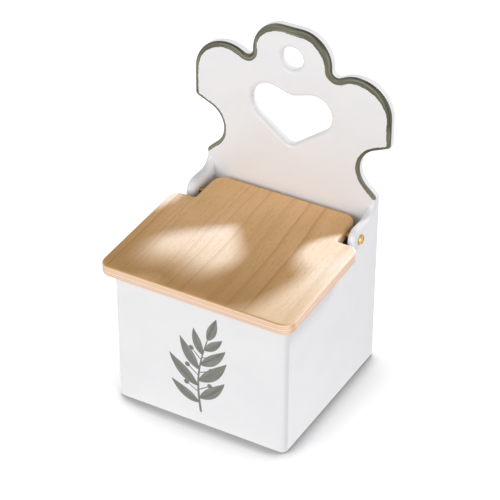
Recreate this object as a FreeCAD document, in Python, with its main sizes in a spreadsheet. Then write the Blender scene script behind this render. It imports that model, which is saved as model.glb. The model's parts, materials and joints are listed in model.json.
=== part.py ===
import FreeCAD, Part
import math
import operator
import os
from types import SimpleNamespace

import Sketcher
from FreeCAD import Vector

# Salt pot: a cast earthenware box with a scalloped back plate and two ears, and a beech lid
# that turns on two brass wood screws. Origin at the middle of the base, front towards -Y, up +Z.

# Driving sizes, in millimetres and degrees
DRIVING_SIZES = {
    # box of the pot
    "pot_width": 121.6,
    "pot_depth": 119.6,
    "wall_thickness": 6.0,
    "floor_thickness": 7.0,
    "rim_front_height": 96.0,
    "rim_fall_angle": 2.8,
    "pot_corner_radius": 4.0,
    "cavity_corner_radius": 5.0,
    "cavity_floor_radius": 5.0,
    "rim_outer_radius": 1.8,
    "rim_inner_radius": 3.6,
    "foot_width": 9.0,
    "foot_recess": 1.2,
    "foot_corner_radius": 6.0,
    "foot_arris_radius": 1.5,
    # ears that carry the hinge
    "hinge_setback": 18.6,
    "ear_radius": 8.6,
    "ear_foot_radius": 2.5,
    "saddle_radius": 9.2,
    "saddle_inset": 0.8,
    # back plate, with each height measured from the point below it
    "plate_thickness": 7.0,
    "plate_lap": 4.7,
    "plate_arris_radius": 2.0,
    "cutout_arris_radius": 3.0,
    "plate_foot_rise": 2.0,
    "plate_foot_radius": 4.0,
    "neck_inset": 25.4,
    "neck_rise": 23.2,
    "neck_radius": 16.0,
    "lobe_overhang": 8.2,
    "lobe_foot_rise": 14.4,
    "lobe_foot_radius": 3.0,
    "lobe_rise": 57.5,
    "lobe_radius": 23.0,
    "notch_fall": 21.6,
    "notch_radius": 4.0,
    "crown_half_width": 27.5,
    "crown_rise": 29.2,
    "crown_radius": 21.0,
    # heart cut through the plate
    "heart_tip_rise": 19.6,
    "heart_tip_radius": 5.0,
    "heart_half_width": 28.0,
    "heart_flank_rise": 20.5,
    "heart_side_rise": 22.5,
    "heart_lobe_radius": 12.2,
    "heart_notch_fall": 8.0,
    "heart_notch_radius": 3.5,
    # hole for hanging the pot up
    "hanging_hole_radius": 7.3,
    "hanging_hole_drop": 21.6,
    # lid
    "lid_thickness": 8.0,
    "lid_seat_gap": 0.2,
    "lid_front_overhang": 8.1,
    "lid_side_overhang": 6.0,
    "lid_ear_gap": 4.1,
    "lid_tongue_gap": 4.0,
    "lid_back_gap": 2.4,
    "lid_front_radius": 8.0,
    "lid_shoulder_radius": 6.5,
    "lid_notch_radius": 1.5,
    "lid_tongue_radius": 8.5,
    "lid_arris_radius": 1.8,
    # hinge screws
    "screw_length": 25.0,
    "screw_radius": 1.75,
    "screw_root_radius": 1.2,
    "screw_plain_length": 6.9,
    "screw_tip_length": 3.5,
    "screw_head_radius": 3.4,
    "screw_head_height": 1.7,
    "screw_head_gap": 0.3,
    "screw_slot_width": 0.9,
    "screw_slot_depth": 1.0,
    "screw_slot_turn": 35.0,
    "screw_hole_clearance": 0.25,
    "thread_pitch": 1.6,
    "thread_root_width": 1.1,
    # how far every cutting shape runs past what it cuts
    "overrun": 8.0,
}

# how many times the modeller's own tolerance still counts as touching
TOUCH_SHARE = 1000
# how much of a corner's radius, or of the floor's thickness, still counts as part of it
CORNER_REACH_SHARE = 1.5


class Size:
    """A length, angle or ratio that keeps its number and the sheet formula behind it."""

    def __init__(self, value, formula):
        self.value = float(value)
        self.formula = formula

    def __add__(self, other):
        return combine(operator.add, "+", self, other)

    def __sub__(self, other):
        return combine(operator.sub, "-", self, other)

    def __mul__(self, other):
        return combine(operator.mul, "*", self, other)

    def __truediv__(self, other):
        return combine(operator.truediv, "/", self, other)

    def __neg__(self):
        return self * -1


def combine(work, sign, first, second):
    """The size that an operation on two sizes, or on a size and a plain ratio, gives."""
    if not isinstance(second, Size):
        second = Size(second, str(second))
    return Size(work(first.value, second.value), f"({first.formula} {sign} {second.formula})")


def tangent(angle):
    return Size(math.tan(math.radians(angle.value)), f"tan({angle.formula})")


def cosine(angle):
    return Size(math.cos(math.radians(angle.value)), f"cos({angle.formula})")


ORIGIN = Size(0, "0")


def make_sheet(doc):
    """The sheet of driving sizes, one row each: its name and its number."""
    sheet = doc.addObject("Spreadsheet::Sheet", "sizes")
    for row, (alias, value) in enumerate(DRIVING_SIZES.items(), start=1):
        sheet.set(f"A{row}", alias)
        sheet.set(f"B{row}", str(value))
        sheet.setAlias(f"B{row}", alias)
    doc.recompute()
    return SimpleNamespace(**{alias: Size(sheet.get(alias), f"sizes.{alias}") for alias in DRIVING_SIZES})


def bind(feature, **sizes):
    """Tie properties of a feature to their sizes."""
    for name, amount in sizes.items():
        setattr(feature, name, amount.value)
        feature.setExpression(name, amount.formula)


def place(body, rotation, x=ORIGIN, y=ORIGIN, z=ORIGIN):
    """Turn a body and put its own origin at a point."""
    body.Placement = FreeCAD.Placement(Vector(x.value, y.value, z.value), rotation)
    for axis, amount in (("x", x), ("y", y), ("z", z)):
        body.setExpression(f"Placement.Base.{axis}", amount.formula)


# Sketches


def add_sketch(body, name, role, level=ORIGIN, turn=ORIGIN):
    """A sketch on one of the body's own planes, moved along the plane's normal to a level and turned."""
    sketch = body.newObject("Sketcher::SketchObject", name)
    plane = next(feature for feature in body.Origin.OriginFeatures if feature.Role == role)
    sketch.AttachmentSupport = [(plane, "")]
    sketch.MapMode = "FlatFace"
    sketch.AttachmentOffset = FreeCAD.Placement(Vector(), FreeCAD.Rotation(Vector(0, 0, 1), turn.value))
    sketch.setExpression("AttachmentOffset.Base.z", level.formula)
    sketch.setExpression("AttachmentOffset.Rotation.Angle", turn.formula)
    return sketch


def dimension(sketch, amount, kind, *targets):
    """A dimension of a sketch, tied to its size."""
    index = sketch.addConstraint(Sketcher.Constraint(kind, *targets, amount.value))
    sketch.setExpression(f"Constraints[{index}]", amount.formula)


def pin(sketch, geometry, end, x, y):
    """Hold one point of a sketch at its place from the sketch's origin."""
    dimension(sketch, x, "DistanceX", -1, 1, geometry, end)
    dimension(sketch, y, "DistanceY", -1, 1, geometry, end)


def draw_circle(sketch, x, y, radius):
    circle = sketch.addGeometry(Part.Circle(Vector(x.value, y.value, 0), Vector(0, 0, 1), radius.value))
    pin(sketch, circle, 3, x, y)
    dimension(sketch, radius, "Radius", circle)


def round_corner(before, point, after, radius):
    """The arc that rounds a corner: its geometry, where it meets both sides, and whether it turns left."""
    inward = (before - point).normalize()
    outward = (after - point).normalize()
    half_angle = inward.getAngle(outward) / 2
    first = point + inward * (radius / math.tan(half_angle))
    last = point + outward * (radius / math.tan(half_angle))
    centre = point + (inward + outward).normalize() * (radius / math.sin(half_angle))
    turns_left = (point - before).cross(after - point).z > 0
    ends = (first, last) if turns_left else (last, first)
    angles = [math.atan2(end.y - centre.y, end.x - centre.x) for end in ends]
    circle = Part.Circle(centre, Vector(0, 0, 1), radius)
    return Part.ArcOfCircle(circle, *angles), first, last, turns_left


def draw_outline(sketch, corners, dome_radius=None):
    """A closed run of straight sides through corner points, each corner left sharp or rounded.

    Each corner is (x, y, radius), with None for a sharp corner. With a dome radius, the side that
    leaves the first corner is an arc of that radius instead, and both its corners are sharp.
    """
    points = [Vector(x.value, y.value, 0) for x, y, _ in corners]
    count = len(corners)
    arrivals, departures, arcs = list(points), list(points), {}
    for index, (_, _, radius) in enumerate(corners):
        if radius:
            arc, arrivals[index], departures[index], turns_left = round_corner(
                points[index - 1], points[index], points[(index + 1) % count], radius.value)
            arcs[index] = (sketch.addGeometry(arc), turns_left)
    sides = []
    for index in range(count):
        start, end = departures[index], arrivals[(index + 1) % count]
        if dome_radius and index == 0:
            sides.append(sketch.addGeometry(dome_arc(start, end, dome_radius.value)))
            dimension(sketch, dome_radius, "Radius", sides[0])
        else:
            sides.append(sketch.addGeometry(Part.LineSegment(start, end)))
    for index, (x, y, radius) in enumerate(corners):
        side_in, side_out = sides[index - 1], sides[index]
        if not radius:
            sketch.addConstraint(Sketcher.Constraint("Coincident", side_in, 2, side_out, 1))
            pin(sketch, side_out, 1, x, y)
            continue
        arc, turns_left = arcs[index]
        arc_first, arc_last = (1, 2) if turns_left else (2, 1)
        sketch.addConstraint(Sketcher.Constraint("Tangent", side_in, 2, arc, arc_first))
        sketch.addConstraint(Sketcher.Constraint("Tangent", arc, arc_last, side_out, 1))
        dimension(sketch, radius, "Radius", arc)
        corner = sketch.addGeometry(Part.Point(points[index]), True)
        pin(sketch, corner, 1, x, y)
        sketch.addConstraint(Sketcher.Constraint("PointOnObject", corner, 1, side_in))
        sketch.addConstraint(Sketcher.Constraint("PointOnObject", corner, 1, side_out))


def dome_arc(start, end, radius):
    """The arc of a radius from one point to another, turning left."""
    middle = (start + end) / 2
    chord = end - start
    to_centre = Vector(-chord.y, chord.x, 0).normalize()
    centre = middle + to_centre * math.sqrt(radius ** 2 - (chord.Length / 2) ** 2)
    angles = [math.atan2(point.y - centre.y, point.x - centre.x) for point in (start, end)]
    return Part.ArcOfCircle(Part.Circle(centre, Vector(0, 0, 1), radius), *angles)


def mirrored(right_half):
    """A whole outline from its right half, which is listed against the clock from the bottom up."""
    left_half = [(-x, y, radius) for x, y, radius in reversed(right_half) if x.value > 0]
    return right_half + left_half


# Features


def extrude(body, kind, sketch, length, reverse=False, symmetric=False):
    """Pad or pocket a sketch, and make sure that a pocket takes material away."""
    before = body.Shape.Volume if body.Tip and kind == "Pocket" else None
    feature = body.newObject(f"PartDesign::{kind}", f"{sketch.Name}_{kind.lower()}")
    feature.Profile = sketch
    feature.SideType = "Symmetric" if symmetric else "One side"
    feature.Reversed = reverse
    bind(feature, Length=length)
    body.Document.recompute()
    if before is not None and not feature.Shape.Volume < before:
        raise RuntimeError(f"{feature.Name} cuts nothing")


def round_edges(body, name, radius, wanted):
    """Round the edges of a body whose points all pass a test."""
    base = body.Tip
    chosen = []
    for number, edge in enumerate(base.Shape.Edges, start=1):
        if wanted([edge.valueAt(at) for at in edge_stations(edge)]):
            chosen.append(f"Edge{number}")
    if not chosen:
        raise RuntimeError(f"{name} finds no edge")
    fillet = body.newObject("PartDesign::Fillet", name)
    fillet.Base = (base, chosen)
    bind(fillet, Radius=radius)
    body.Document.recompute()


def edge_stations(edge):
    """The start, middle and end of an edge, as its own parameters."""
    first, last = edge.ParameterRange
    return first, (first + last) / 2, last


def touching():
    """The greatest distance at which two points still count as touching."""
    return Part.Precision.confusion() * TOUCH_SHARE


def near(first, second):
    return abs(first - second) < touching()


# Shared places


def datum_points(size):
    """The planes, points and heights that several pieces share."""
    half_width = size.pot_width / 2
    plate_back = size.pot_depth / 2
    plate_front = plate_back - size.plate_thickness
    pot_front = -plate_back
    hinge_y = plate_front - size.hinge_setback
    rim_rise = tangent(size.rim_fall_angle)
    rim_at_hinge = size.rim_front_height + rim_rise * (hinge_y - pot_front)
    lid_middle = size.lid_thickness / 2 + size.lid_seat_gap
    hinge_z = rim_at_hinge + lid_middle / cosine(size.rim_fall_angle)
    ear_top = hinge_z + size.ear_radius
    saddle_top = ear_top + size.saddle_radius
    return SimpleNamespace(
        half_width=half_width,
        plate_back=plate_back,
        plate_front=plate_front,
        pot_front=pot_front,
        hinge_y=hinge_y,
        hinge_z=hinge_z,
        rim_rise=rim_rise,
        ear_front=hinge_y - size.ear_radius,
        ear_top=ear_top,
        saddle_top=saddle_top,
        post_top=saddle_top + size.overrun,
        plate_foot=saddle_top + size.plate_foot_rise,
        inner_half_width=half_width - size.wall_thickness,
        inner_front=pot_front + size.wall_thickness,
        box_back=plate_front + size.plate_lap,
    )


# Back plate


def make_plate(doc, size, at):
    """The scalloped plate with its heart and hanging hole, every edge rounded."""
    body = doc.addObject("PartDesign::Body", "plate")
    sketch = add_sketch(body, "plate_outline", "XZ_Plane", -at.plate_front)
    draw_outline(sketch, plate_corners(size, at))
    draw_outline(sketch, heart_corners(size, at))
    draw_circle(sketch, ORIGIN, hanging_hole_height(size, at), size.hanging_hole_radius)
    extrude(body, "Pad", sketch, size.plate_thickness, reverse=True)
    for side, level in (("front", at.plate_front), ("back", at.plate_back)):
        round_edges(body, f"plate_{side}_arris", size.plate_arris_radius,
                    lambda points: all(near(point.y, level.value) for point in points)
                    and not near(points[1].z, 0) and not on_cutout(points, size, at))
        round_edges(body, f"cutout_{side}_arris", size.cutout_arris_radius,
                    lambda points: all(near(point.y, level.value) for point in points)
                    and on_cutout(points, size, at))
    return body


def on_cutout(points, size, at):
    """Whether an edge of the plate belongs to the heart or to the hanging hole."""
    corners = heart_corners(size, at)
    heights = [height.value for _, height, _ in corners]
    hole_height = hanging_hole_height(size, at).value

    def in_heart(point):
        return (abs(point.x) < size.heart_half_width.value + touching()
                and min(heights) < point.z < max(heights))

    def on_hole(point):
        return near(math.hypot(point.x, point.z - hole_height), size.hanging_hole_radius.value)

    return all(in_heart(point) for point in points) or all(on_hole(point) for point in points)


def plate_corners(size, at):
    """The plate's outline: straight sides to its foot, a neck, two side lobes and a crown."""
    neck = at.plate_foot + size.neck_rise
    lobe_foot = neck + size.lobe_foot_rise
    lobe_half_width = at.half_width + size.lobe_overhang
    lobe_peak = lobe_foot + size.lobe_rise
    return mirrored([
        (at.half_width, ORIGIN, None),
        (at.half_width, at.plate_foot, size.plate_foot_radius),
        (at.half_width - size.neck_inset, neck, size.neck_radius),
        (lobe_half_width, lobe_foot, size.lobe_foot_radius),
        (lobe_half_width, lobe_peak, size.lobe_radius),
        (size.crown_half_width, lobe_peak - size.notch_fall, size.notch_radius),
        (size.crown_half_width, crown_height(size, at), size.crown_radius),
    ])


def crown_height(size, at):
    climb = size.neck_rise + size.lobe_foot_rise + size.lobe_rise - size.notch_fall + size.crown_rise
    return at.plate_foot + climb


def hanging_hole_height(size, at):
    return crown_height(size, at) - size.hanging_hole_drop


def heart_corners(size, at):
    """The heart: a rounded tip, straight flanks, two round lobes and a shallow notch between them."""
    tip = at.plate_foot + size.heart_tip_rise
    flank_top = tip + size.heart_flank_rise
    shoulder = flank_top + size.heart_side_rise
    return mirrored([
        (ORIGIN, tip, size.heart_tip_radius),
        (size.heart_half_width, flank_top, size.heart_lobe_radius),
        (size.heart_half_width, shoulder, size.heart_lobe_radius),
        (ORIGIN, shoulder - size.heart_notch_fall, size.heart_notch_radius),
    ])


# Pot


def make_pot(doc, size, at, plate):
    """The box with its ears, joined to the back plate, then given its foot and drilled for the hinge."""
    body = doc.addObject("PartDesign::Body", "pot")
    raise_box(body, size, at)
    hollow_box(body, size, at)
    round_rim(body, size, at)
    trim_posts(body, size, at)
    join_plate(body, plate)
    make_foot(body, size, at)
    holes = add_sketch(body, "hinge_holes", "YZ_Plane")
    draw_circle(holes, at.hinge_y, at.hinge_z, size.screw_radius + size.screw_hole_clearance)
    extrude(body, "Pocket", holes, size.pot_width + size.overrun, symmetric=True)
    return body


def raise_box(body, size, at):
    """The block of the box, cut above to the falling rim and to the ears' side view."""
    plan = add_sketch(body, "box_plan", "XY_Plane")
    draw_outline(plan, box_corners(at.half_width, at.pot_front, at.box_back, size.pot_corner_radius))
    extrude(body, "Pad", plan, at.post_top)
    profile = add_sketch(body, "rim_profile", "YZ_Plane")
    draw_outline(profile, rim_corners(size, at))
    extrude(body, "Pocket", profile, size.pot_width + size.overrun, symmetric=True)


def hollow_box(body, size, at):
    """The salt cavity, open at the top and at the back, where the plate closes it."""
    cavity = add_sketch(body, "cavity", "XY_Plane", size.floor_thickness)
    past_back = at.box_back + size.overrun
    draw_outline(cavity, box_corners(at.inner_half_width, at.inner_front, past_back, size.cavity_corner_radius))
    extrude(body, "Pocket", cavity, at.post_top, reverse=True)


def round_rim(body, size, at):
    """The rounds along the rim and the ears, outside and inside, and round the cavity's floor."""
    outer_wall = WallLine(at.half_width, at.pot_front, size.pot_corner_radius)
    inner_wall = WallLine(at.inner_half_width, at.inner_front, size.cavity_corner_radius)
    rounds = (("outer", outer_wall, size.rim_outer_radius), ("inner", inner_wall, size.rim_inner_radius))
    for name, wall, radius in rounds:
        round_edges(body, f"{name}_rim_round", radius,
                    lambda points: wall.has_rim_edge(points, size.floor_thickness, at))
    round_edges(body, "cavity_floor_round", size.cavity_floor_radius,
                lambda points: all(near(point.z, size.floor_thickness.value) for point in points)
                and not near(points[1].y, at.box_back.value))


def trim_posts(body, size, at):
    """Take off what stands above the saddles, where the ears run into the plate."""
    trim = add_sketch(body, "post_trim", "XY_Plane", at.saddle_top)
    past_side = at.half_width + size.overrun
    draw_outline(trim, rectangle(past_side, at.pot_front, at.box_back + size.overrun))
    extrude(body, "Pocket", trim, size.overrun * 2, reverse=True)


def make_foot(body, size, at):
    """The rounded bottom edge and the shallow recess that leaves a foot ring."""
    round_edges(body, "foot_arris", size.foot_arris_radius,
                lambda points: all(near(point.z, 0) for point in points))
    foot = add_sketch(body, "foot_recess", "XY_Plane")
    half_width = at.half_width - size.foot_width
    half_depth = at.plate_back - size.foot_width
    draw_outline(foot, rectangle(half_width, -half_depth, half_depth, size.foot_corner_radius))
    extrude(body, "Pocket", foot, size.foot_recess, reverse=True)


def rim_corners(size, at):
    """What is cut away above the rim: the rim falls to the front, and the ear's nose rises to a saddle."""
    front = at.pot_front - size.overrun
    saddle_back = at.plate_front + size.saddle_inset
    over_post = at.post_top + size.overrun

    def rim_height(y):
        return size.rim_front_height + at.rim_rise * (y - at.pot_front)

    return [
        (front, rim_height(front), None),
        (at.ear_front, rim_height(at.ear_front), size.ear_foot_radius),
        (at.ear_front, at.ear_top, size.ear_radius),
        (saddle_back, at.ear_top, size.saddle_radius),
        (saddle_back, over_post, None),
        (front, over_post, None),
    ]


def box_corners(half_width, front, back, radius):
    """A box's plan with rounded front corners and sharp back ones."""
    return [
        (half_width, front, radius),
        (half_width, back, None),
        (-half_width, back, None),
        (-half_width, front, radius),
    ]


def rectangle(half_width, front, back, radius=None):
    return [
        (half_width, front, radius),
        (half_width, back, radius),
        (-half_width, back, radius),
        (-half_width, front, radius),
    ]


class WallLine:
    """The plan line of the box's outer or inner wall faces: two sides, two round corners and the front."""

    def __init__(self, half_width, front, corner_radius):
        self.half_width = half_width.value
        self.front = front.value
        self.radius = corner_radius.value

    def holds(self, point):
        """Whether a point lies on the wall faces."""
        across = abs(point.x) - (self.half_width - self.radius)
        along = self.front + self.radius - point.y
        if across > 0 and along > 0:
            return near(math.hypot(across, along), self.radius)
        return near(abs(point.x), self.half_width) or near(point.y, self.front)

    def has_rim_edge(self, points, floor, at):
        """Whether an edge of the wall faces is part of their top, with the ears."""
        upright = near(points[0].x, points[2].x) and near(points[0].y, points[2].y)
        at_corner = points[1].y < self.front + self.radius * CORNER_REACH_SHARE
        at_floor = all(point.z < floor.value * CORNER_REACH_SHARE for point in points)
        at_back = all(near(point.y, at.box_back.value) for point in points)
        at_top = all(near(point.z, at.post_top.value) for point in points)
        left_out = (upright and at_corner) or at_floor or at_back or at_top
        return not left_out and all(self.holds(point) for point in points)


def join_plate(body, plate):
    """Make the box and the back plate one piece."""
    join = body.newObject("PartDesign::Boolean", "plate_join")
    join.Type = "Fuse"
    join.setObjects([plate])
    body.Document.recompute()


# Lid


def make_lid(doc, size, at):
    """The lid board, drawn flat about the hinge axis and laid on the falling rim."""
    body = doc.addObject("PartDesign::Body", "lid_board")
    half_width = at.half_width + size.lid_side_overhang
    tongue_half_width = at.inner_half_width - size.lid_tongue_gap
    front = (at.pot_front - at.hinge_y) / cosine(size.rim_fall_angle) - size.lid_front_overhang
    notch = -(size.ear_radius + size.lid_ear_gap)
    plan = add_sketch(body, "lid_plan", "XY_Plane", -size.lid_thickness / 2)
    draw_outline(plan, mirrored([
        (half_width, front, size.lid_front_radius),
        (half_width, notch, size.lid_shoulder_radius),
        (tongue_half_width, notch, size.lid_notch_radius),
        (tongue_half_width, size.hinge_setback - size.lid_back_gap, size.lid_tongue_radius),
    ]))
    extrude(body, "Pad", plan, size.lid_thickness)
    half_thickness = size.lid_thickness.value / 2
    round_edges(body, "lid_arris", size.lid_arris_radius,
                lambda points: all(near(abs(point.z), half_thickness) for point in points))
    bite = size.screw_length - size.wall_thickness - size.lid_tongue_gap + size.screw_head_gap
    for name, side in (("left", -1), ("right", 1)):
        pilot = add_sketch(body, f"pilot_hole_{name}", "YZ_Plane", tongue_half_width * side)
        draw_circle(pilot, ORIGIN, ORIGIN, size.screw_root_radius)
        extrude(body, "Pocket", pilot, bite, reverse=side < 0)
    place(body, FreeCAD.Rotation(Vector(1, 0, 0), size.rim_fall_angle.value), y=at.hinge_y, z=at.hinge_z)
    body.setExpression("Placement.Rotation.Angle", size.rim_fall_angle.formula)
    return body


# Hinge screws


def make_screw(doc, size, at, side):
    """A slotted round-head wood screw, drawn from under its head to its tip along +Z."""
    body = doc.addObject("PartDesign::Body", f"hinge_screw_{side}")
    radius, height = size.screw_head_radius, size.screw_head_height
    dome_radius = (radius * radius + height * height) / (height * 2)
    turned = add_sketch(body, f"screw_profile_{side}", "XZ_Plane")
    draw_outline(turned, [
        (ORIGIN, -height, None),
        (radius, ORIGIN, None),
        (size.screw_radius, ORIGIN, None),
        (size.screw_radius, size.screw_plain_length, None),
        (size.screw_root_radius, size.screw_plain_length, None),
        (size.screw_root_radius, size.screw_length - size.screw_tip_length, None),
        (ORIGIN, size.screw_length, None),
    ], dome_radius)
    revolve = body.newObject("PartDesign::Revolution", f"screw_turning_{side}")
    revolve.Profile = turned
    revolve.ReferenceAxis = (turned, ["V_Axis"])
    doc.recompute()
    slot = add_sketch(body, f"screw_slot_{side}", "XY_Plane", -height, turn=size.screw_slot_turn)
    slot_half_width = size.screw_slot_width / 2
    draw_outline(slot, rectangle(radius + size.overrun, -slot_half_width, slot_half_width))
    extrude(body, "Pocket", slot, size.screw_slot_depth, reverse=True)
    add_thread(body, size, side)
    hand = 1 if side == "right" else -1
    lay_down = FreeCAD.Rotation(Vector(0, 0, 1), Vector(-hand, 0, 0))
    place(body, lay_down, (at.half_width + size.screw_head_gap) * hand, at.hinge_y, at.hinge_z)
    return body


def add_thread(body, size, side):
    """A sharp wood-screw thread wound along the core, from the plain shank to the tip."""
    half_root = size.thread_root_width / 2
    middle = size.screw_plain_length + half_root
    buried = size.screw_root_radius - half_root
    ridge = add_sketch(body, f"thread_ridge_{side}", "XZ_Plane")
    draw_outline(ridge, [
        (buried, middle - half_root, None),
        (size.screw_root_radius, middle - half_root, None),
        (size.screw_radius, middle, None),
        (size.screw_root_radius, middle + half_root, None),
        (buried, middle + half_root, None),
    ])
    thread = body.newObject("PartDesign::AdditiveHelix", f"thread_{side}")
    thread.Profile = ridge
    thread.ReferenceAxis = (ridge, ["V_Axis"])
    thread.Mode = "pitch-height-angle"
    run = size.screw_length - size.screw_tip_length - size.screw_plain_length - size.thread_root_width
    bind(thread, Pitch=size.thread_pitch, Height=run)
    body.Document.recompute()


def write_pieces(doc, pieces):
    """Check every object of the document, then write each piece to its own file."""
    for thing in doc.Objects:
        if {"Invalid", "Error"} & set(thing.State):
            raise RuntimeError(f"{thing.Name} failed: {thing.State}")
    os.makedirs("parts", exist_ok=True)
    for piece in pieces:
        if piece.Shape.isNull() or not piece.Shape.isValid():
            raise RuntimeError(f"{piece.Label} has no valid shape")
        piece.Shape.exportStep(f"parts/{piece.Label}.step")
        box = piece.Shape.optimalBoundingBox(False, False)
        print(f"{piece.Label}: {box.XLength:.2f} x {box.YLength:.2f} x {box.ZLength:.2f} mm,"
              f" {piece.Shape.Volume:.0f} mm3, {len(piece.Shape.Solids)} solid")


def main():
    doc = FreeCAD.newDocument("salt_pot")
    size = make_sheet(doc)
    at = datum_points(size)
    plate = make_plate(doc, size, at)
    pieces = [
        make_pot(doc, size, at, plate),
        make_lid(doc, size, at),
        make_screw(doc, size, at, "left"),
        make_screw(doc, size, at, "right"),
    ]
    doc.recompute()
    write_pieces(doc, pieces)


main()
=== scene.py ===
"""Salt pot with a swinging beech lid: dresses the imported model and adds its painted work.

Lengths in the classes below are in millimetres and angles in degrees, as on a workshop drawing.
Meshes, lamps and the camera are in metres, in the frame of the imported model: +X to the right,
-Y to the front, +Z up, with the foot on Z = 0. Rates of noise are in waves per millimetre.
"""

import json
import logging
import math
from dataclasses import dataclass, field
from enum import Enum
from typing import Optional, Union

import bpy
import numpy as np
from mathutils import Euler, Matrix, Vector


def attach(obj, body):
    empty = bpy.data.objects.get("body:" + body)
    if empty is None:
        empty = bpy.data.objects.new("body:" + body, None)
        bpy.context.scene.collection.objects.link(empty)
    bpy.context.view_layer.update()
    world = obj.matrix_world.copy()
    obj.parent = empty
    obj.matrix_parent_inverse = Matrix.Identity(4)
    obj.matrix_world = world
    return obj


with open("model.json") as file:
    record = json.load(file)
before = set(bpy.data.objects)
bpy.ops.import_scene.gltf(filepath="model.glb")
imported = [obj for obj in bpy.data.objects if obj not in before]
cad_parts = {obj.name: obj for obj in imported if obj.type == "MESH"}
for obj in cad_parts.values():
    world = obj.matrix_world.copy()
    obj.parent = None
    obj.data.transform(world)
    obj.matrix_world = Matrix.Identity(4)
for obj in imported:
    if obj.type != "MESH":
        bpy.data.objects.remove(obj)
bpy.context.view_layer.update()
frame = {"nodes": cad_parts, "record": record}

MM = 0.001
HINGE = tuple(place / MM for place in frame["record"]["behaviour"]["joints"][0]["pos_m"])
BRUSH = "brush"
LOAD = "load"
LOG = logging.getLogger("salt_pot")

Colour = tuple[float, float, float]
Rates = tuple[float, float, float]
Range = tuple[float, float]
Marks = tuple[np.ndarray, np.ndarray]
Operand = Union["Term", float]


class Body(str, Enum):
    """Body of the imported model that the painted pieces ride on."""

    POT = "pot"


class Node(str, Enum):
    """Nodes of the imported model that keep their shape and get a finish."""

    POT = "pot"
    LID_BOARD = "lid_board"
    LEFT_SCREW = "hinge_screw_left"
    RIGHT_SCREW = "hinge_screw_right"


class Outline(Enum):
    """Plan of a brush mark between its two ends."""

    LEAF = "leaf"
    BERRY = "berry"


class Octaves(float, Enum):
    """How many finer octaves a noise has."""

    PLAIN = 1.0
    SOFT = 2.0
    FINE = 3.0


class LampKind(str, Enum):
    """Blender's types of the lamps that are hung."""

    SOFTBOX = "AREA"
    SUN = "SUN"


class Lights(str, Enum):
    """What a lamp lights: one piece only, or all but that piece."""

    ONLY = "INCLUDE"
    ALL_BUT = "EXCLUDE"


class Term:
    """One output socket. Arithmetic on values adds Math nodes to the same net."""

    def __init__(self, net: "Net", socket: bpy.types.NodeSocket) -> None:
        """Keeps the socket and the net that it belongs to."""
        self.net = net
        self.socket = socket

    def __add__(self, other: Operand) -> "Term":
        """self + other."""
        return self.net.maths("ADD", self, other)

    def __radd__(self, other: Operand) -> "Term":
        """other + self."""
        return self.net.maths("ADD", other, self)

    def __sub__(self, other: Operand) -> "Term":
        """self - other."""
        return self.net.maths("SUBTRACT", self, other)

    def __rsub__(self, other: Operand) -> "Term":
        """other - self."""
        return self.net.maths("SUBTRACT", other, self)

    def __mul__(self, other: Operand) -> "Term":
        """self * other."""
        return self.net.maths("MULTIPLY", self, other)

    def __rmul__(self, other: Operand) -> "Term":
        """other * self."""
        return self.net.maths("MULTIPLY", other, self)

    def __truediv__(self, other: Operand) -> "Term":
        """self / other."""
        return self.net.maths("DIVIDE", self, other)

    def __rtruediv__(self, other: Operand) -> "Term":
        """other / self."""
        return self.net.maths("DIVIDE", other, self)

    def __pow__(self, other: Operand) -> "Term":
        """self ** other."""
        return self.net.maths("POWER", self, other)

    def __rpow__(self, other: Operand) -> "Term":
        """other ** self."""
        return self.net.maths("POWER", other, self)

    def swing(self) -> "Term":
        """The value less a half, so that it swings either side of nothing."""
        return self - 0.5

    def step(self, low: float, high: float) -> "Term":
        """Smooth step of the value.

        Args:
            low: value at which the result is 0.
            high: value at which the result is 1; it may lie below low.

        Returns:
            The smooth step, between 0 and 1.
        """
        made = self.net.node(
            "MapRange",
            {"interpolation_type": "SMOOTHSTEP"},
            {"Value": self, "From Min": min(low, high), "From Max": max(low, high)},
        )
        rise = self.net.term(made, "Result")
        return rise if low < high else 1.0 - rise


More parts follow.
